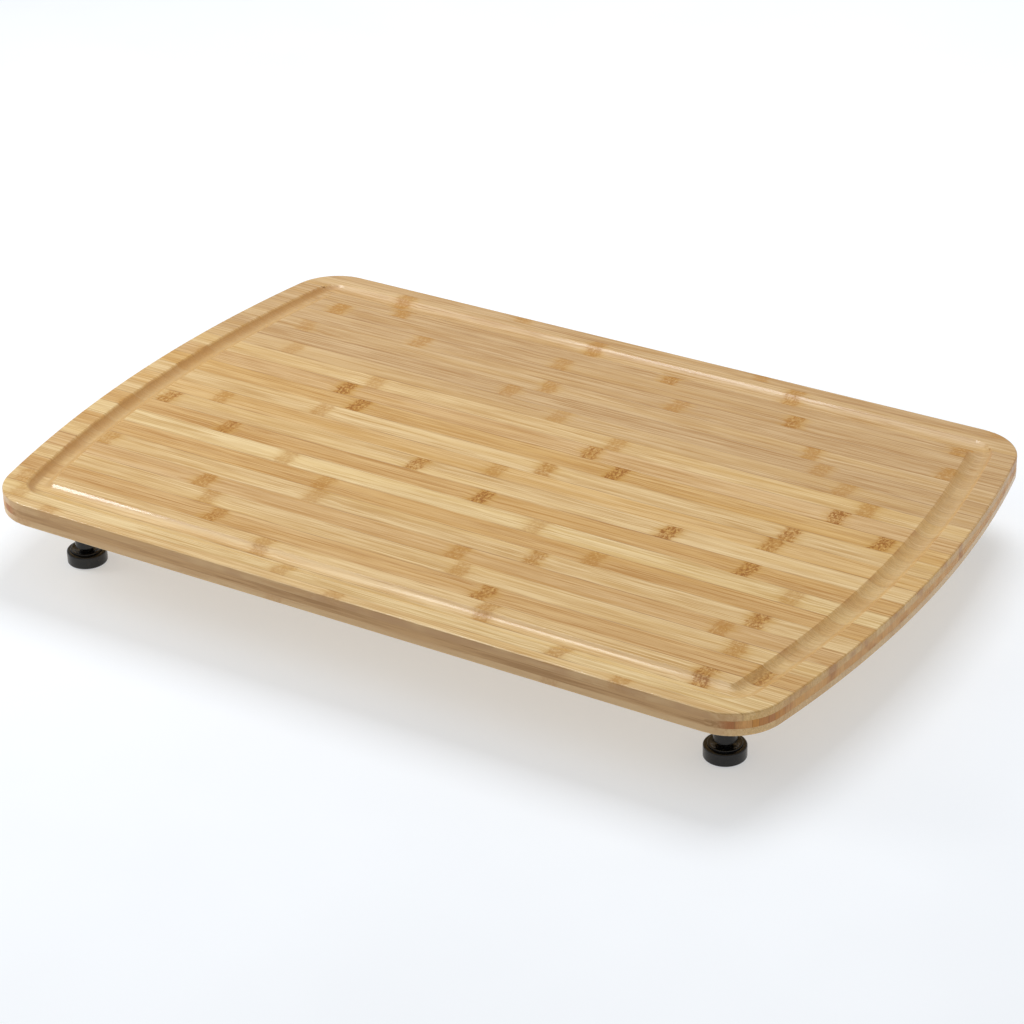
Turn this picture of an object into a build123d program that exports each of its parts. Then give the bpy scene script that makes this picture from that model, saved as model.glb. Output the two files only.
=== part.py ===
from build123d import *
import os
from math import atan2, cos, degrees, radians, sin, sqrt

os.makedirs("parts", exist_ok=True)

# A three-ply bamboo board with a juice groove, standing on four screw feet.
# Millimetres, +Z up, the long side along X, the ground at z = 0.

# board
board_l = 762.0
board_w = 500.0
board_t = 20.0
board_bottom = 58.5
board_top = board_bottom + board_t
ply_t = board_t / 3
end_bulge = 28.5
corner_r = 45.5
arris_r = 1.5

# top and bottom plies are laid up from strips that run along X
strip_pitch = 21.75
first_glue_line = -240.2
glue_lines = 23

# juice groove, measured inwards from the board's outline
groove_outer = 20.5
groove_inner = 41.5
groove_depth = 4.0
groove_outer_soft = 2.0
groove_inner_soft = 0.5

# feet
foot_x = 303.2
foot_y = 190.4
feet = (
    ("fl", -foot_x, -foot_y),
    ("fr", foot_x, -foot_y),
    ("bl", -foot_x, foot_y),
    ("br", foot_x, foot_y),
)

# socket: a tube with a round flange that is screwed under the board
tube_r = 9.35
tube_bottom = 15.0
tube_bore_r = 4.7
tube_chamfer = 0.5
flange_r = 22.0
flange_t = 3.5
flange_chamfer = 0.8
web_r = 3.0

# hex nut held in the tube's lower end
nut_across = 13.0
nut_bottom = 16.0
nut_t = 6.5
nut_bore_r = 4.0
seat_gap = 0.02

# flange screws
screw_pcd = 33.0
screws_per_foot = 3
screw_r = 1.75
head_r = 3.5
head_rim = 0.4
head_taper = 2.0
screw_len = 14.0
screw_point = 2.5
slot_l = 4.0
slot_w = 0.8
slot_depth = 1.2

# spindle: a threaded rod with a spanner collar and a riveted lower end
spindle_r = 3.95
spindle_top = 50.0
spindle_chamfer = 1.0
collar_across = 10.0
collar_bottom = 10.6
collar_t = 3.2
neck_r = 3.6
rivet_r = 8.0
rivet_bottom = 6.1
rivet_t = 2.2
rivet_chamfer = 0.4

# base cup, the ring that holds the spindle in it, and the rubber sole
base_r = 16.9
base_bottom = 0.3
base_top = 11.4
heel_round = 1.2
shoulder_round = 1.6
ring_r = 13.6
ring_bottom = 8.5
ring_top = 12.7
ring_round = 0.7
ring_bore_r = neck_r + 0.05
dish_floor = 10.5
dish_r = 8.0
rim_r = 12.0
rim_drop = 0.3
rim_slope = 0.8
pocket_r = 8.4
pocket_floor = 6.0
sole_r = 14.8
sole_t = 2.3
sole_chamfer = 0.8
sole_chamfer_h = 0.5
sole_channel_in = 6.0
sole_channel_out = 10.0
sole_channel_depth = 0.8

# the end arcs and corner arcs meet at end_angle
end_r = ((board_w / 2) ** 2 + end_bulge**2) / (2 * end_bulge)
end_x = board_l / 2 - end_r
corner_y = board_w / 2 - corner_r
corner_x = end_x + sqrt((end_r - corner_r) ** 2 - corner_y**2)
end_angle = degrees(atan2(corner_y, corner_x - end_x))


def outline(inset, height):
    """The board's outline moved inwards by inset, as a wire at this height."""
    half_w = board_w / 2 - inset
    rest = 90 - end_angle
    with BuildLine(Plane.XY.offset(height)) as line:
        CenterArc((end_x, 0), end_r - inset, -end_angle, 2 * end_angle)
        CenterArc((corner_x, corner_y), corner_r - inset, end_angle, rest)
        CenterArc((corner_x, -corner_y), corner_r - inset, -90, rest)
        mirror(about=Plane.YZ)
        Line((-corner_x, half_w), (corner_x, half_w))
        Line((-corner_x, -half_w), (corner_x, -half_w))
    return line.wires()[0]


def arc_inset(radius):
    """How far the middle of a quarter-round stands in from the corner that it replaces."""
    return radius * (1 - sqrt(0.5))


def spot_plane(x, y):
    """An upright sketch plane through a foot's axis: local x is +X, local y is +Z."""
    return Plane(origin=(x, y, 0), x_dir=(1, 0, 0), z_dir=(0, -1, 0))


def spot_axis(x, y):
    return Axis((x, y, 0), (0, 0, 1))


def screw_spots(height):
    """The twelve flange-screw centres at this height."""
    spots = []
    for _, x, y in feet:
        for i in range(screws_per_foot):
            turn = radians(90 + 360 / screws_per_foot * i)
            spots.append(
                (x + screw_pcd / 2 * cos(turn), y + screw_pcd / 2 * sin(turn), height)
            )
    return spots


def within(edge, inset):
    """True when the middle of this edge lies inside the outline's box moved in by inset."""
    middle = edge.position_at(0.5)
    return abs(middle.X) < board_l / 2 - inset and abs(middle.Y) < board_w / 2 - inset


def save(part, name):
    part.label = name
    export_step(part, "parts/" + name + ".step")


screw_head = board_bottom - flange_t
screw_taper_top = screw_head + head_rim + head_taper
screw_shank_top = screw_head + screw_len - screw_point
UP = (Align.CENTER, Align.CENTER, Align.MIN)

# ---- the whole board, cut into plies and strips further down ----
with BuildPart() as slab:
    with BuildSketch(Plane.XY.offset(board_bottom)):
        add(outline(0, board_bottom))
        make_face()
    extrude(amount=board_t)
    rims = slab.edges().filter_by_position(Axis.Z, board_top - 0.01, board_top + 0.01)
    feet_side = slab.edges().filter_by_position(
        Axis.Z, board_bottom - 0.01, board_bottom + 0.01
    )
    fillet(rims + feet_side, arris_r)

    # juice groove: a shallow round channel that follows the outline
    groove_mid = (groove_outer + groove_inner) / 2
    groove_half = (groove_inner - groove_outer) / 2
    path_start = Plane(
        origin=(0, -board_w / 2 + groove_mid, board_top), x_dir=(0, 1, 0), z_dir=(1, 0, 0)
    )
    with BuildSketch(path_start):
        with BuildLine():
            ThreePointArc((-groove_half, 0), (0, -groove_depth), (groove_half, 0))
            Line((groove_half, 0), (groove_half, 2))
            Line((groove_half, 2), (-groove_half, 2))
            Line((-groove_half, 2), (-groove_half, 0))
        make_face()
    sweep(path=outline(groove_mid, board_top), mode=Mode.SUBTRACT)
    lips = slab.edges().filter_by_position(Axis.Z, board_top - 0.01, board_top + 0.01)
    inner_lips = [e for e in lips if within(e, groove_mid)]
    outer_lips = [e for e in lips if within(e, groove_outer - 2) and e not in inner_lips]
    fillet(inner_lips, groove_inner_soft)
    fillet(outer_lips, groove_outer_soft)

    # pilot holes for the flange screws, from below
    with Locations(*screw_spots(board_bottom)):
        Cylinder(
            screw_r + seat_gap,
            screw_shank_top - board_bottom,
            align=UP,
            mode=Mode.SUBTRACT,
        )
    with Locations(*screw_spots(screw_shank_top)):
        Cone(screw_r + seat_gap, seat_gap, screw_point, align=UP, mode=Mode.SUBTRACT)


def slab_piece(y_low, y_high, z_low, z_high):
    """The part of the board between two glue lines and two glue planes."""
    with BuildPart() as piece:
        add(slab.part)
        with BuildSketch(Plane.XY.offset(z_low)):
            with Locations((0, (y_low + y_high) / 2)):
                Rectangle(board_l + 20, y_high - y_low)
        extrude(amount=z_high - z_low, mode=Mode.INTERSECT)
    return piece.part


# ---- plies and strips ----
core_bottom = board_bottom + ply_t
core_top = board_top - ply_t
lines = [first_glue_line + strip_pitch * i for i in range(glue_lines)]
lines = [-board_w / 2 - 10] + lines + [board_w / 2 + 10]
underside = []
for i in range(len(lines) - 1):
    strip = slab_piece(lines[i], lines[i + 1], core_top, board_top + 5)
    save(strip, f"top_strip_{i + 1:02d}")
    strip = slab_piece(lines[i], lines[i + 1], board_bottom - 5, core_bottom)
    underside.extend(strip.solids())
save(Compound(children=underside), "bottom_strips")
core = slab_piece(-board_w / 2 - 10, board_w / 2 + 10, core_bottom, core_top)
save(core, "core_ply")

# ---- twelve countersunk flange screws with a cross slot ----
with BuildPart() as screws:
    with Locations(*screw_spots(screw_head)):
        Cylinder(head_r, head_rim, align=UP)
    with Locations(*screw_spots(screw_head + head_rim)):
        Cone(head_r, screw_r, head_taper, align=UP)
    with Locations(*screw_spots(screw_taper_top)):
        Cylinder(screw_r, screw_shank_top - screw_taper_top, align=UP)
    with Locations(*screw_spots(screw_shank_top)):
        Cone(screw_r, 0, screw_point, align=UP)
    with Locations(*screw_spots(screw_head)):
        Box(slot_l, slot_w, slot_depth, align=UP, mode=Mode.SUBTRACT)
        Box(slot_w, slot_l, slot_depth, align=UP, mode=Mode.SUBTRACT)
save(screws.part, "flange_screws")

# ---- feet ----
for name, x, y in feet:
    plane = spot_plane(x, y)
    axis = spot_axis(x, y)

    with BuildPart() as socket:
        with BuildSketch(plane):
            with BuildLine():
                Polyline(
                    (tube_bore_r, tube_bottom),
                    (tube_r - tube_chamfer, tube_bottom),
                    (tube_r, tube_bottom + tube_chamfer),
                    (tube_r, board_bottom - flange_t - web_r),
                    (tube_r + web_r, board_bottom - flange_t),
                    (flange_r - flange_chamfer, board_bottom - flange_t),
                    (flange_r, board_bottom - flange_t + flange_chamfer),
                    (flange_r, board_bottom),
                    (tube_bore_r, board_bottom),
                    close=True,
                )
            make_face()
        revolve(axis=axis)
        with BuildSketch(Plane.XY.offset(tube_bottom)):
            with Locations((x, y)):
                RegularPolygon(nut_across / 2 + seat_gap, 6, major_radius=False)
        extrude(amount=nut_bottom + nut_t - tube_bottom, mode=Mode.SUBTRACT)
        spots = [s for s in screw_spots(screw_head) if abs(s[0] - x) < flange_r]
        spots = [s for s in spots if abs(s[1] - y) < flange_r]
        with Locations(*spots):
            Cylinder(head_r + seat_gap, head_rim, align=UP, mode=Mode.SUBTRACT)
            Cylinder(screw_r + seat_gap, flange_t, align=UP, mode=Mode.SUBTRACT)
        with Locations(*[(s[0], s[1], screw_head + head_rim) for s in spots]):
            Cone(
                head_r + seat_gap,
                screw_r + seat_gap,
                head_taper,
                align=UP,
                mode=Mode.SUBTRACT,
            )
    save(socket.part, "socket_" + name)

    with BuildPart() as nut:
        with BuildSketch(Plane.XY.offset(nut_bottom)):
            with Locations((x, y)):
                RegularPolygon(nut_across / 2, 6, major_radius=False)
                Circle(nut_bore_r, mode=Mode.SUBTRACT)
        extrude(amount=nut_t)
    save(nut.part, "nut_" + name)

    with BuildPart() as spindle:
        with BuildSketch(plane):
            with BuildLine():
                Polyline(
                    (0, rivet_bottom),
                    (rivet_r - rivet_chamfer, rivet_bottom),
                    (rivet_r, rivet_bottom + rivet_chamfer),
                    (rivet_r, rivet_bottom + rivet_t),
                    (neck_r, rivet_bottom + rivet_t),
                    (neck_r, collar_bottom + collar_t / 2),
                    (spindle_r, collar_bottom + collar_t / 2),
                    (spindle_r, spindle_top - spindle_chamfer),
                    (spindle_r - spindle_chamfer, spindle_top),
                    (0, spindle_top),
                    close=True,
                )
            make_face()
        revolve(axis=axis)
        with BuildSketch(Plane.XY.offset(collar_bottom)):
            with Locations((x, y)):
                RegularPolygon(collar_across / 2, 6, major_radius=False)
        extrude(amount=collar_t)
    save(spindle.part, "spindle_" + name)

    heel_in = arc_inset(heel_round)
    shoulder_in = arc_inset(shoulder_round)
    with BuildPart() as base:
        with BuildSketch(plane):
            with BuildLine():
                Polyline(
                    (0, sole_t),
                    (sole_r, sole_t),
                    (sole_r, base_bottom),
                    (base_r - heel_round, base_bottom),
                )
                ThreePointArc(
                    (base_r - heel_round, base_bottom),
                    (base_r - heel_in, base_bottom + heel_in),
                    (base_r, base_bottom + heel_round),
                )
                Line((base_r, base_bottom + heel_round), (base_r, base_top - shoulder_round))
                ThreePointArc(
                    (base_r, base_top - shoulder_round),
                    (base_r - shoulder_in, base_top - shoulder_in),
                    (base_r - shoulder_round, base_top),
                )
                Polyline(
                    (base_r - shoulder_round, base_top),
                    (ring_r + seat_gap, base_top),
                    (ring_r + seat_gap, ring_bottom),
                    (pocket_r, ring_bottom),
                    (pocket_r, pocket_floor),
                    (0, pocket_floor),
                    (0, sole_t),
                )
            make_face()
        revolve(axis=axis)
    save(base.part, "base_" + name)

    ring_in = arc_inset(ring_round)
    with BuildPart() as ring:
        with BuildSketch(plane):
            with BuildLine():
                Line((ring_r, ring_bottom), (ring_r, ring_top - ring_round))
                ThreePointArc(
                    (ring_r, ring_top - ring_round),
                    (ring_r - ring_in, ring_top - ring_in),
                    (ring_r - ring_round, ring_top),
                )
                Polyline(
                    (ring_r - ring_round, ring_top),
                    (rim_r, ring_top),
                    (rim_r - rim_slope, ring_top - rim_drop),
                    (dish_r, dish_floor),
                    (ring_bore_r, dish_floor),
                    (ring_bore_r, ring_bottom),
                    (ring_r, ring_bottom),
                )
            make_face()
        revolve(axis=axis)
    save(ring.part, "ring_" + name)

    with BuildPart() as sole:
        with BuildSketch(plane):
            with BuildLine():
                Polyline(
                    (0, 0),
                    (sole_channel_in, 0),
                    (sole_channel_in, sole_channel_depth),
                    (sole_channel_out, sole_channel_depth),
                    (sole_channel_out, 0),
                    (sole_r - sole_chamfer, 0),
                    (sole_r - seat_gap, sole_chamfer_h),
                    (sole_r - seat_gap, sole_t),
                    (0, sole_t),
                    close=True,
                )
            make_face()
        revolve(axis=axis)
    save(sole.part, "sole_" + name)
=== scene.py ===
import math

import bmesh
import bpy
from mathutils import Matrix, Vector


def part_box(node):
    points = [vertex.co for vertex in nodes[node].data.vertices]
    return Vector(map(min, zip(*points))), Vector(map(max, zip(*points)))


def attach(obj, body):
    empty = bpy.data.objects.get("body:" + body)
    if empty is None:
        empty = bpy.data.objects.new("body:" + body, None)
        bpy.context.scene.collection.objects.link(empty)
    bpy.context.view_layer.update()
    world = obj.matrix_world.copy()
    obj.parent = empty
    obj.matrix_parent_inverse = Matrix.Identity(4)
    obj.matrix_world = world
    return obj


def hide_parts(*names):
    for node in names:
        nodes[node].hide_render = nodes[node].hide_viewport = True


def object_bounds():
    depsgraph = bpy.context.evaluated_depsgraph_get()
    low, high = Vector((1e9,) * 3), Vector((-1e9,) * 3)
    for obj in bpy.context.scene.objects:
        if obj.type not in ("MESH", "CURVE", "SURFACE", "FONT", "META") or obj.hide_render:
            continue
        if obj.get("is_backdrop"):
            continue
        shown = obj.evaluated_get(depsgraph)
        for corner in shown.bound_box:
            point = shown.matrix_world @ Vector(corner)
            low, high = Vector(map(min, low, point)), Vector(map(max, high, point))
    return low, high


# a bamboo cutting board on four black feet that screw in and out
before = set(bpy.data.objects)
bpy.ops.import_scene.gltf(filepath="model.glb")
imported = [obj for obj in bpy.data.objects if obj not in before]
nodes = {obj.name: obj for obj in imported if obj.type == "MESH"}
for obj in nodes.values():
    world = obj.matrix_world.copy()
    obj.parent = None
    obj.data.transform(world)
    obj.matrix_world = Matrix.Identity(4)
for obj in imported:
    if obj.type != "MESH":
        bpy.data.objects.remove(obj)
cad_low, cad_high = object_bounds()
scene = bpy.context.scene

FEET = ("fl", "fr", "bl", "br")


# ---------------------------------------------------------------- shader helpers
def linear(r, g, b):
    """A colour given as 0 to 255 display values, as the shader wants it."""
    out = []
    for v in (r, g, b):
        v = v / 255
        out.append(v / 12.92 if v <= 0.04045 else ((v + 0.055) / 1.055) ** 2.4)
    return (out[0], out[1], out[2], 1.0)


class Web:
    """A material's node tree, with one short method for each kind of node."""

    def __init__(self, name):
        self.mat = bpy.data.materials.new(name)
        self.mat.use_nodes = True
        self.tree = self.mat.node_tree
        self.tree.nodes.clear()
        self.out = self.tree.nodes.new("ShaderNodeOutputMaterial")
        self.shader = self.tree.nodes.new("ShaderNodeBsdfPrincipled")
        self.link(self.shader.outputs[0], self.out.inputs["Surface"])
        place = self.tree.nodes.new("ShaderNodeTexCoord")
        self.place = place.outputs["Object"]
        split = self.tree.nodes.new("ShaderNodeSeparateXYZ")
        self.link(self.place, split.inputs[0])
        self.x, self.y, self.z = split.outputs
        shape = self.tree.nodes.new("ShaderNodeNewGeometry")
        facing = self.tree.nodes.new("ShaderNodeSeparateXYZ")
        self.link(shape.outputs["Normal"], facing.inputs[0])
        self.nx, self.ny, self.nz = facing.outputs
        self.behind = shape.outputs["Backfacing"]

    def link(self, a, b):
        self.tree.links.new(a, b)

    def put(self, value, socket):
        if isinstance(value, bpy.types.NodeSocket):
            self.link(value, socket)
        elif socket.type == "VECTOR":
            socket.default_value = value[:3]
        else:
            socket.default_value = value

    def math(self, what, a, b=0.0, c=0.0):
        node = self.tree.nodes.new("ShaderNodeMath")
        node.operation = what
        for value, socket in zip((a, b, c), node.inputs):
            self.put(value, socket)
        return node.outputs[0]

    def add(self, a, b):
        return self.math("ADD", a, b)

    def mul(self, a, b):
        return self.math("MULTIPLY", a, b)

    def absolute(self, a):
        return self.math("ABSOLUTE", a)

    def larger(self, a, b):
        return self.math("MAXIMUM", a, b)

    def wobble(self, noise, size):
        """Noise turned into an offset that is as often negative as positive."""
        return self.mul(self.add(noise, -0.5), size)

    def ramp(self, value, low, high, to_low=0.0, to_high=1.0):
        """value from low to high turned smoothly into to_low to to_high."""
        node = self.tree.nodes.new("ShaderNodeMapRange")
        node.interpolation_type = "SMOOTHSTEP"
        node.clamp = True
        self.put(value, node.inputs["Value"])
        node.inputs["From Min"].default_value = low
        node.inputs["From Max"].default_value = high
        node.inputs["To Min"].default_value = to_low
        node.inputs["To Max"].default_value = to_high
        return node.outputs["Result"]

    def at(self, x, y, z):
        node = self.tree.nodes.new("ShaderNodeCombineXYZ")
        for value, socket in zip((x, y, z), node.inputs):
            self.put(value, socket)
        return node.outputs[0]

    def noise(self, sx, sy, sz, seed=0.0, detail=2.0, rough=0.5, y=None):
        """Noise with its own scale along each axis, in patches per metre.

        Different seeds give patterns that have nothing to do with each other.
        """
        where = self.at(
            self.add(self.mul(self.x, sx), seed),
            self.add(self.mul(self.y if y is None else y, sy), seed * 1.7),
            self.mul(self.z, sz),
        )
        node = self.tree.nodes.new("ShaderNodeTexNoise")
        node.inputs["Scale"].default_value = 1.0
        node.inputs["Detail"].default_value = detail
        node.inputs["Roughness"].default_value = rough
        self.link(where, node.inputs["Vector"])
        return node.outputs["Fac"]

    def random(self, value):
        """A number from 0 to 1 that has nothing to do with its neighbours."""
        node = self.tree.nodes.new("ShaderNodeTexWhiteNoise")
        node.noise_dimensions = "1D"
        self.put(value, node.inputs["W"])
        return node.outputs["Value"]

    def mix(self, factor, a, b):
        """Colour a where factor is 0, and colour b where it is 1."""
        node = self.tree.nodes.new("ShaderNodeMix")
        node.data_type = "RGBA"
        self.put(factor, node.inputs["Factor"])
        colours = [s for s in node.inputs if s.type == "RGBA"]
        self.put(a, colours[0])
        self.put(b, colours[1])
        return [s for s in node.outputs if s.type == "RGBA"][0]

    def shade(self, colour, amount):
        """colour times a grey amount, which may vary."""
        node = self.tree.nodes.new("ShaderNodeVectorMath")
        node.operation = "SCALE"
        self.put(colour, node.inputs[0])
        self.put(amount, node.inputs["Scale"])
        return node.outputs[0]

    def bump(self, height, distance, strength=1.0):
        node = self.tree.nodes.new("ShaderNodeBump")
        node.inputs["Distance"].default_value = distance
        node.inputs["Strength"].default_value = strength
        self.link(height, node.inputs["Height"])
        self.link(node.outputs[0], self.shader.inputs["Normal"])

    def constant(self, name, value):
        """A value that is the same all over the surface."""
        self.shader.inputs[name].default_value = value

    def finish(self, colour, roughness):
        self.put(colour, self.shader.inputs["Base Color"])
        self.put(roughness, self.shader.inputs["Roughness"])
        return self.mat


# ---------------------------------------------------------------- bamboo
# display colours of the strips' faces
TONES = {
    "cream": (218, 188, 129),
    "pale": (213, 180, 121),
    "straw": (213, 179, 119),
    "honey": (209, 171, 106),
    "amber": (203, 162, 92),
    "sand": (199, 164, 109),
    "tan": (204, 166, 107),
    "rose": (194, 158, 104),
    "nut": (200, 159, 94),
    "brown": (200, 158, 90),
}
NODE_BROWN = linear(168, 112, 20)
NODE_CORE = linear(132, 74, 6)
NODE_GOLD = linear(193, 147, 62)
NODE_PALE = linear(222, 184, 108)
GLUE_BROWN = linear(146, 102, 58)
CUT_BROWN = linear(205, 161, 97)
CUT_DARK = linear(168, 112, 66)
# painted shade and light for the juice groove: the brown for walls in shade, the pale for lit
# walls
GROOVE_SHADE_BROWN = linear(178, 130, 68)
GROOVE_LIT_PALE = linear(209, 172, 112)
EDGE_BROWN = linear(182, 143, 98)

# the oil on the top ply, which the underside has less of
COAT = 0.65
COAT_ROUGHNESS = 0.09
BARE_COAT = 0.08
UNDERSIDE_COAT = COAT * 0.7
UNDERSIDE_COAT_ROUGHNESS = 0.2
GRAIN_RELIEF = 0.00020
GRAIN_STRENGTH = 0.7

# the top ply, in metres: its height, where a glue line begins and ends to fade beside a seam,
# how far the fibres swerve beside a node, and the depths at which the juice groove shows
WORK_FACE = cad_high.z
SEAM_FADE = (0.0001, 0.0007)
SWERVE = 0.0050
GROOVE_DEPTH = (0.0003, 0.0016)

# the bottom ply, in metres: each strip's width, how far in front of the centre the first seam
# is, and how far apart the culm nodes are
STRIP_PITCH = 0.02175
FIRST_SEAM = 0.2402
NODE_DISTANCE = 0.252

# the core ply, in metres: where its first narrow strip begins, in front of the centre, and
# the width of each
CORE_START = 0.25
CORE_PITCH = 0.0058

# a culm node, in metres along the strip: where its band, the golden wood beside it and the
# upset grain round it begin and end to fade, how far its edge sways and how ragged it is
NODE_BAND = (0.0052, 0.0092)
NODE_GLOW = (0.0070, 0.0170)
NODE_UPSET = (0.004, 0.045)
NODE_SWAY = 0.012
NODE_RAGGED = 0.011

# front to back: tone, then where the culm's nodes cross the strip (mm) and how dark they are
STRIPS = (
    ("straw", ((-292, 0.45), (-11, 0.45), (244, 0.55))),
    ("cream", ((-333, 0.40), (-71, 0.45), (182, 0.60))),
    ("straw", ((-346, 0.50), (-106, 0.50), (103, 0.60), (294, 0.75))),
    ("nut", ((-168, 0.70), (89, 0.75), (332, 0.85))),
    ("pale", ((-190, 0.50), (53, 0.50), (298, 0.60))),
    ("tan", ((-210, 0.65), (38, 0.60), (274, 0.60))),
    ("pale", ((-327, 0.55), (-114, 0.40), (96, 0.65), (293, 0.75))),
    ("brown", ((-121, 0.55), (137, 0.60))),
    ("cream", ((-172, 0.45), (71, 0.40), (301, 0.45))),
    ("brown", ((-354, 0.45), (-249, 0.75), (7, 0.80), (250, 0.80))),
    ("pale", ((-328, 0.75), (-71, 0.75), (168, 0.85))),
    ("honey", ((-286, 0.55), (-7, 0.50), (249, 0.70))),
    ("pale", ((-196, 0.50), (28, 0.65), (254, 0.75))),
    ("amber", ((-352, 0.45), (-173, 0.85), (83, 0.90), (325, 0.95))),
    ("tan", ((-352, 0.50), (-200, 1.00), (47, 0.75), (275, 0.95))),
    ("pale", ((-184, 0.45), (58, 0.50), (291, 0.60))),
    ("sand", ((-286, 0.35), (-11, 0.40), (259, 0.45))),
    ("rose", ((-72, 0.45), (228, 0.40))),
    ("sand", ((-303, 0.35), (-46, 0.55), (208, 0.55))),
    ("rose", ((-193, 0.50), (69, 0.50), (322, 0.55))),
    ("rose", ((-297, 0.60), (-60, 0.45), (169, 0.70))),
    ("rose", ((-239, 0.60), (39, 0.70), (314, 0.60))),
    ("sand", ((-253, 0.60), (-50, 0.60), (147, 0.60))),
    ("rose", ((-136, 0.45), (106, 0.50), (331, 0.40))),
)


def fibres(web, seed, across):
    """Long streaks along X: how light each point is, from 0 to 1, and a height for the bump."""
    broad = web.noise(6.5, 135, 70, seed, 3, 0.6, y=across)
    streak = web.noise(9, 400, 180, seed + 11, 3, 0.6, y=across)
    fine = web.noise(24, 1150, 460, seed + 23, 2, 0.6, y=across)
    dark = web.ramp(web.noise(6, 900, 320, seed + 37, 2, 0.5, y=across), 0.58, 0.64)
    thread = web.ramp(web.noise(11, 620, 240, seed + 71, 2, 0.5, y=across), 0.61, 0.66)
    light = web.ramp(web.noise(9, 520, 240, seed + 53, 2, 0.5, y=across), 0.60, 0.70)
    total = web.add(web.mul(broad, 0.90), web.mul(streak, 1.15))
    total = web.add(total, web.mul(fine, 1.10))
    total = web.add(total, web.mul(dark, -0.42))
    total = web.add(total, web.mul(thread, -0.48))
    total = web.add(total, web.mul(light, 0.30))
    height = web.add(streak, web.mul(fine, 0.7))
    return web.add(total, -1.03), height


def node_grain(web, seed):
    """The fine pattern inside a culm node: its mottling, and the net of dashes over it."""
    mottle = web.noise(430, 330, 330, seed + 61, 2, 0.6)
    net = web.noise(620, 210, 210, seed + 83, 3, 0.7)
    return mottle, net


def culm_nodes(web, marks, seed):
    """The culm's nodes at these places (mm) along X.

    Returns how brown each point is, how golden the wood beside the node is, how pale its
    flecks are, how far the grain is upset there, and how many nodes lie to its left.
    """
    sway = web.wobble(web.noise(0, 95, 95, seed + 5, 3, 0.55), NODE_SWAY)
    ragged = web.wobble(web.noise(40, 1100, 1100, seed + 19, 2, 0.6), NODE_RAGGED)
    along = web.add(web.add(web.x, sway), ragged)
    mottle, net = node_grain(web, seed)
    inside = web.mul(web.ramp(mottle, 0.36, 0.56, 0.55, 1.0), web.ramp(net, 0.34, 0.56, 0.60, 1.0))
    flecks = web.ramp(mottle, 0.44, 0.30)
    brown = None
    gold = None
    upset = None
    count = 0.0
    for x, strength in marks:
        away = web.absolute(web.add(along, -x / 1000))
        band = web.ramp(away, *NODE_BAND, min(1.20 * strength, 1.0), 0.0)
        glow = web.ramp(away, *NODE_GLOW, strength, 0.0)
        ring = web.ramp(away, *NODE_UPSET)
        brown = band if brown is None else web.larger(brown, band)
        gold = glow if gold is None else web.larger(gold, glow)
        upset = ring if upset is None else web.math("MINIMUM", upset, ring)
        count = web.add(count, web.math("GREATER_THAN", along, x / 1000))
    upset = web.add(web.mul(upset, -1.0), 1.0)
    return web.mul(brown, inside), gold, web.mul(brown, flecks), upset, count


def glue_line(web, colour, low, high, seed, shows):
    """Darkens the colour beside both seams, broken up so that it shows in some places only."""
    broken = web.ramp(web.noise(16, 40, 40, seed + 3, 2, 0.6), *shows)
    return web.mix(web.mul(web.larger(low, high), broken), colour, GLUE_BROWN)


def fibre_dots(web, seed):
    """The dots of fibre bundles that are cut across."""
    return web.noise(520, 1150, 1150, seed + 7, 2, 0.55)


def dark_patches(web, most):
    """Patches that run on from ply to ply on the ends, as where a culm node is cut across."""
    return web.ramp(web.noise(0, 42, 42, 77, 2, 0.6), 0.50, 0.66, 0.0, most)


def end_groove(web):
    """How far a point is in the juice groove at the board's ends, where it crosses the fibres."""
    depth = web.ramp(web.add(WORK_FACE, web.mul(web.z, -1.0)), *GROOVE_DEPTH)
    sunk = web.mul(depth, web.ramp(web.nz, 0.20, 0.45))
    crosses = web.larger(
        web.ramp(web.absolute(web.nx), 0.04, 0.30),
        web.ramp(web.absolute(web.x), 0.325, 0.345),
    )
    return web.mul(sunk, crosses)


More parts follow.
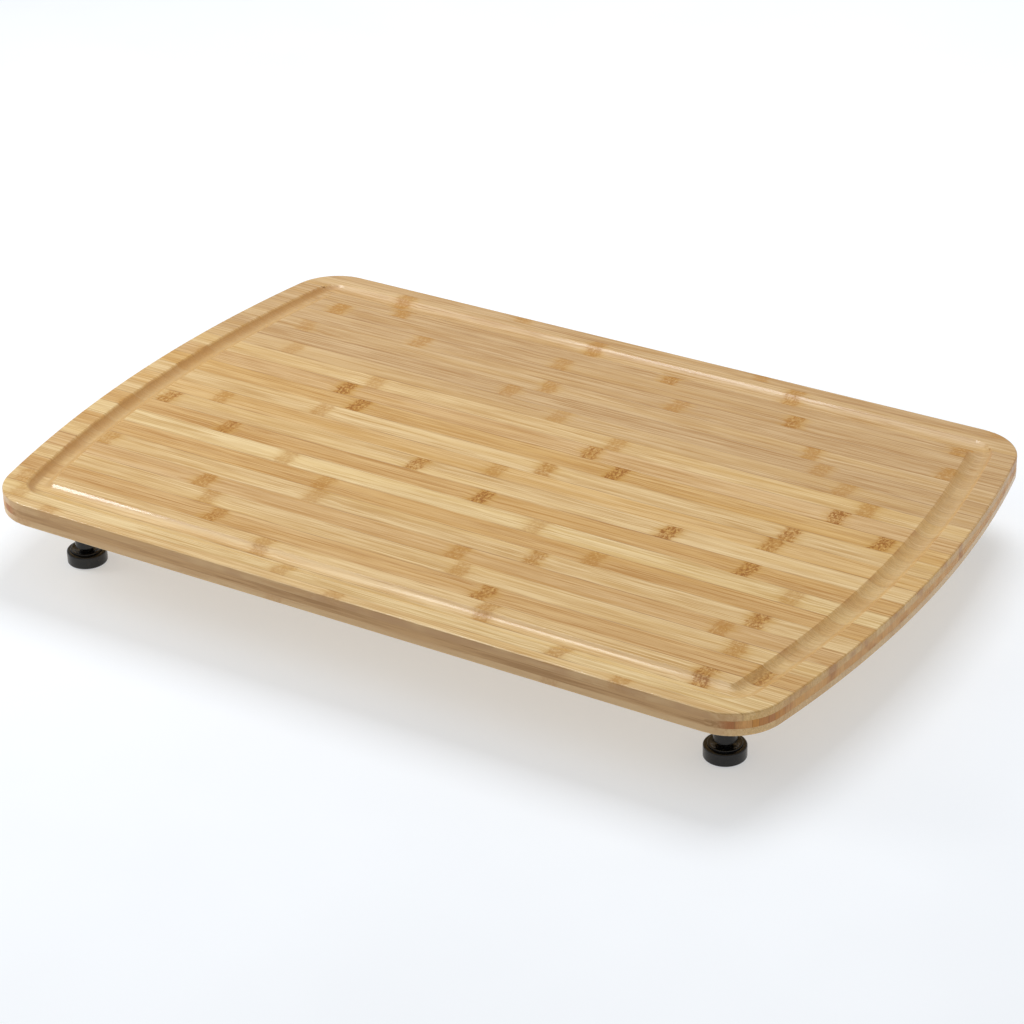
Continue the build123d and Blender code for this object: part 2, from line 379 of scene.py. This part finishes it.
def bamboo_strip(name, tone, marks, seed, y_low, y_high):
    """One flat-laid strip of the top ply.

    It has fibres, culm nodes, glue lines at its sides, and end grain where it is cut across.
    """
    web = Web(name)
    red, green, blue = TONES[tone]
    light = linear(red + 15, green + 20, blue + 28)
    deep = linear(red - 22, green - 31, blue - 38)
    brown, gold, flecks, upset, count = culm_nodes(web, marks, seed)
    # fibres swerve beside a node, and each length between two nodes has its own shade
    swerve = web.wobble(web.noise(52, 80, 80, seed + 97, 1, 0.5), SWERVE)
    total, height = fibres(web, seed, web.add(web.y, web.mul(swerve, upset)))
    own = web.wobble(web.random(web.add(count, seed)), 0.10)
    colour = web.mix(web.ramp(web.add(total, own), 0.02, 0.98), deep, light)
    warm = web.ramp(web.noise(4, 95, 95, seed + 41, 2, 0.5), 0.42, 0.72)
    colour = web.mix(web.mul(warm, 0.32), colour, linear(red, green - 7, blue - 26))
    stain = web.ramp(web.noise(45, 160, 160, seed + 29, 2, 0.6), 0.35, 0.62, 0.15, 0.75)
    colour = web.mix(web.mul(gold, stain), colour, NODE_GOLD)
    colour = web.mix(web.mul(brown, 0.92), colour, NODE_BROWN)
    colour = web.mix(web.ramp(brown, 0.66, 1.0, 0.0, 0.62), colour, NODE_CORE)
    colour = web.mix(web.mul(flecks, 0.45), colour, NODE_PALE)
    low = web.ramp(web.add(web.y, -y_low), *SEAM_FADE, 1.0, 0.0)
    high = web.ramp(web.add(web.mul(web.y, -1), y_high), *SEAM_FADE, 1.0, 0.0)
    colour = glue_line(web, colour, low, high, seed, (0.40, 0.60, 0.08, 0.75))
    # end grain
    cut = web.ramp(web.absolute(web.nx), 0.16, 0.80)
    dots = fibre_dots(web, seed)
    end = web.mix(0.58, colour, CUT_BROWN)
    end = web.mix(dark_patches(web, 0.55), end, CUT_DARK)
    end = web.shade(end, web.ramp(dots, 0.38, 0.64, 1.03, 0.91))
    colour = web.mix(cut, colour, end)
    # the groove at the board's ends: painted shade, browner on the walls that face right and most
    # of all at the left, where the light from the left falls less; its relief is smoothed
    wall = end_groove(web)
    # painted shade: walls that face right, and the groove towards the left end, are painted
    # browner
    faces_right = web.ramp(web.nx, -0.30, 0.50, 0.15, 1.0)
    away = web.mul(faces_right, web.ramp(web.x, -0.30, 0.25, 1.0, 0.25))
    groove_paint_share = web.mul(wall, web.ramp(web.x, -0.30, 0.25, 0.80, 0.45))
    painted_groove_shade = web.mix(groove_paint_share, colour, web.mix(away, GROOVE_LIT_PALE, GROOVE_SHADE_BROWN))
    colour = web.shade(painted_groove_shade, web.ramp(web.mul(wall, dots), 0.36, 0.64, 1.0, 0.90))
    # the long edge face
    side = web.ramp(web.absolute(web.ny), 0.75, 0.98)
    edge = web.mix(0.70, colour, EDGE_BROWN)
    colour = web.mix(side, colour, edge)
    rough = web.add(web.ramp(height, 0.5, 1.2, 0.36, 0.50), web.mul(brown, 0.12))
    relief = web.add(web.mul(height, 0.5), web.mul(brown, -0.25))
    smoothed = web.mul(relief, web.add(web.mul(wall, -0.80), 1.0))
    web.bump(smoothed, GRAIN_RELIEF, GRAIN_STRENGTH)
    # the oil has sunk in on cut faces, edges and culm nodes
    bare = web.larger(web.larger(cut, side), web.mul(brown, 0.85))
    web.put(web.ramp(bare, 0.0, 1.0, COAT, BARE_COAT), web.shader.inputs["Coat Weight"])
    web.constant("Coat Roughness", COAT_ROUGHNESS)
    web.constant("Specular IOR Level", 0.4)
    return web.finish(colour, rough)


def bamboo_underside():
    """The bottom ply: the same strips, each with its own tone and its own culm nodes."""
    web = Web("bamboo_underside")
    row = web.math("DIVIDE", web.add(web.y, FIRST_SEAM), STRIP_PITCH)
    index = web.math("FLOOR", row)
    within = web.math("FRACT", row)
    pick = web.random(web.add(index, 40.0))
    shift = web.random(web.add(index, 90.0))
    # nodes at even distances, at a different place on each strip
    sway = web.wobble(web.noise(0, 210, 210, 5, 2, 0.6), 0.044)
    along = web.add(web.math("DIVIDE", web.x, NODE_DISTANCE), web.mul(shift, 7.0))
    nearest = web.absolute(web.add(web.math("FRACT", web.add(along, sway)), -0.5))
    band = web.ramp(nearest, 0.022, 0.040, 0.80, 0.0)
    mottle, net = node_grain(web, 0)
    brown = web.mul(band, web.ramp(mottle, 0.36, 0.60, 0.42, 1.0))
    brown = web.mul(brown, web.ramp(net, 0.34, 0.58, 0.50, 1.0))
    total, height = fibres(web, 3.0, web.y)
    light = web.mix(pick, linear(231, 205, 150), linear(216, 180, 122))
    deep = web.mix(pick, linear(196, 158, 94), linear(178, 132, 66))
    colour = web.mix(web.ramp(total, 0.02, 0.98), deep, light)
    colour = web.mix(web.mul(brown, 0.86), colour, NODE_BROWN)
    low = web.ramp(within, 0.006, 0.032, 1.0, 0.0)
    high = web.ramp(within, 0.968, 0.994, 0.0, 1.0)
    colour = glue_line(web, colour, low, high, 0, (0.42, 0.64, 0.04, 0.60))
    cut = web.ramp(web.absolute(web.nx), 0.16, 0.80)
    dots = fibre_dots(web, 0)
    end = web.mix(0.58, colour, CUT_BROWN)
    end = web.shade(end, web.ramp(dots, 0.38, 0.64, 1.05, 0.86))
    colour = web.mix(cut, colour, end)
    side = web.ramp(web.absolute(web.ny), 0.75, 0.98)
    edge = web.mix(0.70, colour, linear(186, 145, 95))
    colour = web.mix(side, colour, edge)
    rough = web.add(web.ramp(height, 0.5, 1.2, 0.38, 0.52), web.mul(brown, 0.12))
    relief = web.add(web.mul(height, 0.5), web.mul(brown, -0.6))
    web.bump(relief, GRAIN_RELIEF, GRAIN_STRENGTH)
    web.constant("Coat Weight", UNDERSIDE_COAT)
    web.constant("Coat Roughness", UNDERSIDE_COAT_ROUGHNESS)
    return web.finish(colour, rough)


def bamboo_core():
    """The core ply: narrow edge-laid strips, blocks on the ends and long grain on the sides."""
    web = Web("bamboo_core")
    row = web.math("DIVIDE", web.add(web.y, CORE_START), CORE_PITCH)
    stray = web.mul(web.noise(0, 90, 0, 2, 1, 0.5), 1.4)
    row = web.add(row, stray)
    index = web.math("FLOOR", row)
    within = web.math("FRACT", row)
    pick = web.random(web.add(index, 17.0))
    hue = web.random(web.add(index, 53.0))
    block = web.mix(hue, linear(190, 128, 52), linear(168, 106, 66))
    # the first narrow strips at the front are much darker than the rest
    front = web.ramp(web.y, -0.212, -0.196, 0.80, 0.22)
    block = web.mix(front, linear(215, 165, 101), block)
    block = web.mix(web.mul(web.ramp(pick, 0.30, 0.95), 0.5), block, linear(218, 172, 112))
    bars = web.noise(300, 2200, 120, 9, 2, 0.6)
    block = web.shade(block, web.ramp(bars, 0.32, 0.68, 0.88, 1.07))
    block = web.mix(dark_patches(web, 0.60), block, linear(158, 98, 58))
    low = web.ramp(within, 0.02, 0.10, 1.0, 0.0)
    block = web.mix(web.mul(web.mul(low, front), 0.6), block, linear(130, 86, 46))
    total, height = fibres(web, 8.0, web.y)
    side = web.mix(web.ramp(total, 0.0, 1.0), linear(162, 124, 80), linear(192, 154, 108))
    slip = web.ramp(web.noise(7, 400, 1300, 31, 2, 0.5), 0.60, 0.72, 0.0, 0.40)
    side = web.mix(slip, side, linear(136, 98, 58))
    cut = web.ramp(web.absolute(web.nx), 0.18, 0.45)
    colour = web.mix(cut, side, block)
    rough = web.ramp(height, 0.5, 1.2, 0.40, 0.54)
    web.bump(height, GRAIN_RELIEF, 0.6)
    web.constant("Specular IOR Level", 0.25)
    return web.finish(colour, rough)


# ---------------------------------------------------------------- feet
def black_plastic():
    web = Web("black_plastic")
    cloud = web.noise(140, 140, 140, 4, 3, 0.6)
    flow = web.noise(900, 900, 260, 9, 2, 0.6)
    colour = web.mix(web.ramp(cloud, 0.3, 0.7), linear(5, 5, 6), linear(13, 13, 14))
    rough = web.add(web.ramp(cloud, 0.3, 0.7, 0.16, 0.24), web.ramp(flow, 0.4, 0.7, 0.0, 0.05))
    web.bump(web.add(web.mul(cloud, 0.6), web.mul(flow, 0.25)), 0.00010, 0.5)
    return web.finish(colour, rough)


def black_rubber():
    web = Web("black_rubber")
    cloud = web.noise(200, 200, 200, 6, 3, 0.6)
    grit = web.noise(2600, 2600, 2600, 2, 2, 0.6)
    colour = web.mix(web.ramp(cloud, 0.3, 0.7), linear(24, 24, 25), linear(36, 36, 37))
    rough = web.ramp(grit, 0.3, 0.7, 0.72, 0.90)
    web.bump(grit, 0.00015, 0.6)
    return web.finish(colour, rough)


def black_steel():
    web = Web("black_steel")
    cloud = web.noise(260, 260, 260, 5, 3, 0.6)
    turned = web.noise(40, 40, 3000, 8, 2, 0.6)
    colour = web.mix(web.ramp(cloud, 0.35, 0.7), linear(40, 40, 42), linear(66, 65, 65))
    rough = web.add(web.ramp(cloud, 0.3, 0.7, 0.30, 0.42), web.ramp(turned, 0.4, 0.7, 0.0, 0.08))
    web.bump(turned, 0.00006, 0.5)
    web.constant("Metallic", 0.85)
    return web.finish(colour, rough)


def zinc_steel():
    web = Web("zinc_steel")
    cloud = web.noise(180, 180, 180, 3, 3, 0.6)
    brush = web.noise(900, 900, 3600, 12, 2, 0.6)
    colour = web.mix(web.ramp(cloud, 0.3, 0.7), linear(186, 188, 190), linear(206, 204, 196))
    rough = web.add(web.ramp(cloud, 0.3, 0.7, 0.24, 0.34), web.ramp(brush, 0.4, 0.7, 0.0, 0.08))
    web.bump(brush, 0.00005, 0.5)
    web.constant("Metallic", 1.0)
    return web.finish(colour, rough)


def give(node, material):
    """Puts a material in a CAD node's slots."""
    slots = nodes[node].material_slots
    if slots:
        for slot in slots:
            slot.material = material
    else:
        nodes[node].data.materials.append(material)


# ---------------------------------------------------------------- spindles
THREAD_PITCH = 0.00125
THREAD_DEPTH = 0.00068
THREAD_GROOVE = 0.38  # half a groove's width, as a share of the pitch
THREAD_RUNOUT = 0.0015
SLICES_PER_PITCH = 8
SEGMENTS = 72
SHARP_EDGE = math.radians(38)


def hexagon(angle, across):
    """The radius of a hexagon, across its flats, at this angle."""
    sector = math.radians(60)
    return across / 2 / math.cos((angle + sector / 2) % sector - sector / 2)


def spindle_piece(foot):
    """A threaded rod with a chamfered spanner collar, a neck and a riveted lower end."""
    low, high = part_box("spindle_" + foot)
    centre = (low + high) / 2
    rivet_r = (high.x - low.x) / 2
    rivet_top = low.z + 0.0022
    rivet_chamfer = 0.0004
    rod_r = 0.00395
    rod_chamfer = 0.0008
    neck_r = 0.0036
    across = 0.010
    corner_r = across / 2 / math.cos(math.radians(30))
    corner_cut = 0.0007
    collar_low = low.z + 0.0045
    collar_high = collar_low + 0.0032
    collar_chamfer = 0.0004

    def thread(angle, z):
        turn = ((z - low.z) / THREAD_PITCH - angle / math.tau) % 1.0
        groove = 1 - min(abs(turn - 0.5) / THREAD_GROOVE, 1.0)
        from_end = max(min(z - collar_high, high.z - z), 0.0)
        fade = min(from_end / THREAD_RUNOUT, 1.0)
        return rod_r - THREAD_DEPTH * groove * fade

    def collar(cut):
        return lambda angle, z: min(hexagon(angle, across), corner_r - cut)

    def plain(radius):
        return lambda angle, z: radius

    rows = [
        (low.z, plain(rivet_r - rivet_chamfer)),
        (low.z + rivet_chamfer, plain(rivet_r)),
        (rivet_top - rivet_chamfer, plain(rivet_r)),
        (rivet_top, plain(rivet_r - rivet_chamfer)),
        (rivet_top, plain(neck_r)),
        (collar_low, plain(neck_r)),
        (collar_low, collar(corner_cut)),
        (collar_low + collar_chamfer, collar(0.0)),
        (collar_high - collar_chamfer, collar(0.0)),
        (collar_high, collar(corner_cut)),
        (collar_high, plain(rod_r)),
    ]
    slice_t = THREAD_PITCH / SLICES_PER_PITCH
    for i in range(1, int((high.z - collar_high - rod_chamfer) / slice_t)):
        rows.append((collar_high + i * slice_t, thread))
    rows.append((high.z - rod_chamfer, plain(rod_r)))
    rows.append((high.z, plain(rod_r - rod_chamfer)))

    shape = bmesh.new()
    rings = []
    for z, radius in rows:
        ring = []
        for i in range(SEGMENTS):
            angle = math.tau * i / SEGMENTS
            r = radius(angle, z)
            x = centre.x + r * math.cos(angle)
            y = centre.y + r * math.sin(angle)
            ring.append(shape.verts.new((x, y, z)))
        rings.append(ring)
    for below, above in zip(rings, rings[1:]):
        for i in range(SEGMENTS):
            j = (i + 1) % SEGMENTS
            shape.faces.new((below[i], below[j], above[j], above[i]))
    shape.faces.new(list(reversed(rings[0])))
    shape.faces.new(rings[-1])
    shape.normal_update()
    for face in shape.faces:
        face.smooth = True
    for edge in shape.edges:
        if edge.calc_face_angle(0.0) > SHARP_EDGE:
            edge.smooth = False
    mesh = bpy.data.meshes.new("threaded_spindle_" + foot)
    shape.to_mesh(mesh)
    shape.free()
    mesh.materials.append(dark_steel)
    piece = bpy.data.objects.new("threaded_spindle_" + foot, mesh)
    scene.collection.objects.link(piece)
    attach(piece, "spindle_" + foot)
    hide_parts("spindle_" + foot)


# ---------------------------------------------------------------- materials onto pieces
for number, (tone, marks) in enumerate(STRIPS, start=1):
    node = f"top_strip_{number:02d}"
    low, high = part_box(node)
    give(node, bamboo_strip(f"bamboo_{number:02d}", tone, marks, 13.7 * number, low.y, high.y))
give("bottom_strips", bamboo_underside())
give("core_ply", bamboo_core())
plastic = black_plastic()
rubber = black_rubber()
dark_steel = black_steel()
bright_steel = zinc_steel()
give("flange_screws", bright_steel)
for foot in FEET:
    give("socket_" + foot, plastic)
    give("base_" + foot, plastic)
    give("ring_" + foot, plastic)
    give("nut_" + foot, bright_steel)
    give("sole_" + foot, rubber)
    spindle_piece(foot)


# ---------------------------------------------------------------- stage, light, camera
FLOOR_SIZE = 18.0
FLOOR_GAP = 0.0003  # how far it lies below the soles, so that the two don't coincide
FLOOR_GLOW = 0.43
WORLD_LIGHT = 0.45
BOARD_CENTRE = Vector((0, 0, 0.07))
FAR = 2.4
NEAR = 1.7


def stage_floor():
    """A pale floor that glows a little, so that it stays white and shadows on it stay light.

    It can be seen through from below, so that the object's underside can be looked at.
    """
    half = FLOOR_SIZE / 2
    mesh = bpy.data.meshes.new("floor")
    mesh.from_pydata(
        [(x * half, y * half, -FLOOR_GAP) for x, y in ((-1, -1), (1, -1), (1, 1), (-1, 1))],
        [],
        [(0, 1, 2, 3)],
    )
    floor = bpy.data.objects.new("floor", mesh)
    scene.collection.objects.link(floor)
    web = Web("floor_white")
    cloud = web.noise(3, 3, 3, 2, 3, 0.6)
    colour = web.mix(web.ramp(cloud, 0.3, 0.7), linear(188, 194, 202), linear(192, 198, 206))
    mesh.materials.append(web.finish(colour, 0.9))
    web.constant("Specular IOR Level", 0.1)
    web.constant("Emission Color", (1, 1, 1, 1))
    web.constant("Emission Strength", FLOOR_GLOW)
    clear = web.tree.nodes.new("ShaderNodeBsdfTransparent")
    sides = web.tree.nodes.new("ShaderNodeMixShader")
    web.link(web.behind, sides.inputs[0])
    web.link(web.shader.outputs[0], sides.inputs[1])
    web.link(clear.outputs[0], sides.inputs[2])
    web.link(sides.outputs[0], web.out.inputs["Surface"])
    floor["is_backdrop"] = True


def area_light(name, way, distance, size_x, size_y, watts, colour=(1, 1, 1)):
    """A soft rectangular light that shines on the board from this direction."""
    data = bpy.data.lights.new(name, "AREA")
    data.shape = "RECTANGLE"
    data.size = size_x
    data.size_y = size_y
    data.energy = watts
    data.color = colour
    light = bpy.data.objects.new(name, data)
    scene.collection.objects.link(light)
    way = Vector(way).normalized()
    light.location = BOARD_CENTRE + way * distance
    light.rotation_euler = way.to_track_quat("Z", "Y").to_euler()
    return light


stage_floor()
# two lights that only light surfaces
key = area_light("key", (-0.04, 0.50, 1.0), FAR, 1.5, 1.3, 37, (1.0, 0.99, 0.97))
key.visible_glossy = False
fill = area_light("left_fill", (-0.92, -0.30, 0.42), NEAR, 0.8, 0.8, 11, (1.0, 0.96, 0.90))
fill.visible_glossy = False
# three panels that only show as reflections
for name, way, size_x, size_y, watts in (
    ("left_panel", (-0.694, -0.250, 0.676), 0.40, 0.50, 11),
    ("top_panel", (-0.35, 0.0, 1.0), 2.0, 2.0, 19),
    ("over_panel", (-0.394, -0.063, 0.916), 0.60, 0.45, 5.5),
):
    panel = area_light(name, way, FAR, size_x, size_y, watts)
    panel.visible_diffuse = False

world = bpy.data.worlds.new("studio")
world.use_nodes = True
backdrop = world.node_tree.nodes["Background"]
backdrop.inputs["Color"].default_value = (1, 1, 1, 1)
backdrop.inputs["Strength"].default_value = WORLD_LIGHT
scene.world = world
scene.view_settings.view_transform = "Standard"

camera_data = bpy.data.cameras.new("camera")
camera_data.sensor_width = 36
camera_data.lens = 111.9
camera_data.dof.use_dof = False
camera_data.clip_end = 50
camera = bpy.data.objects.new("camera", camera_data)
scene.collection.objects.link(camera)
eye = Vector((1.2349, -1.9729, 1.3341))
look_at = Vector((0.0413, -0.0656, 0.0785))
roll = -0.0262
back = (eye - look_at).normalized()
right = Vector((0, 0, 1)).cross(back).normalized()
up = back.cross(right)
turn = Matrix((right, up, back)).transposed() @ Matrix.Rotation(roll, 3, "Z")
camera.matrix_world = Matrix.Translation(eye) @ turn.to_4x4()
scene.camera = camera

low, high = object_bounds()
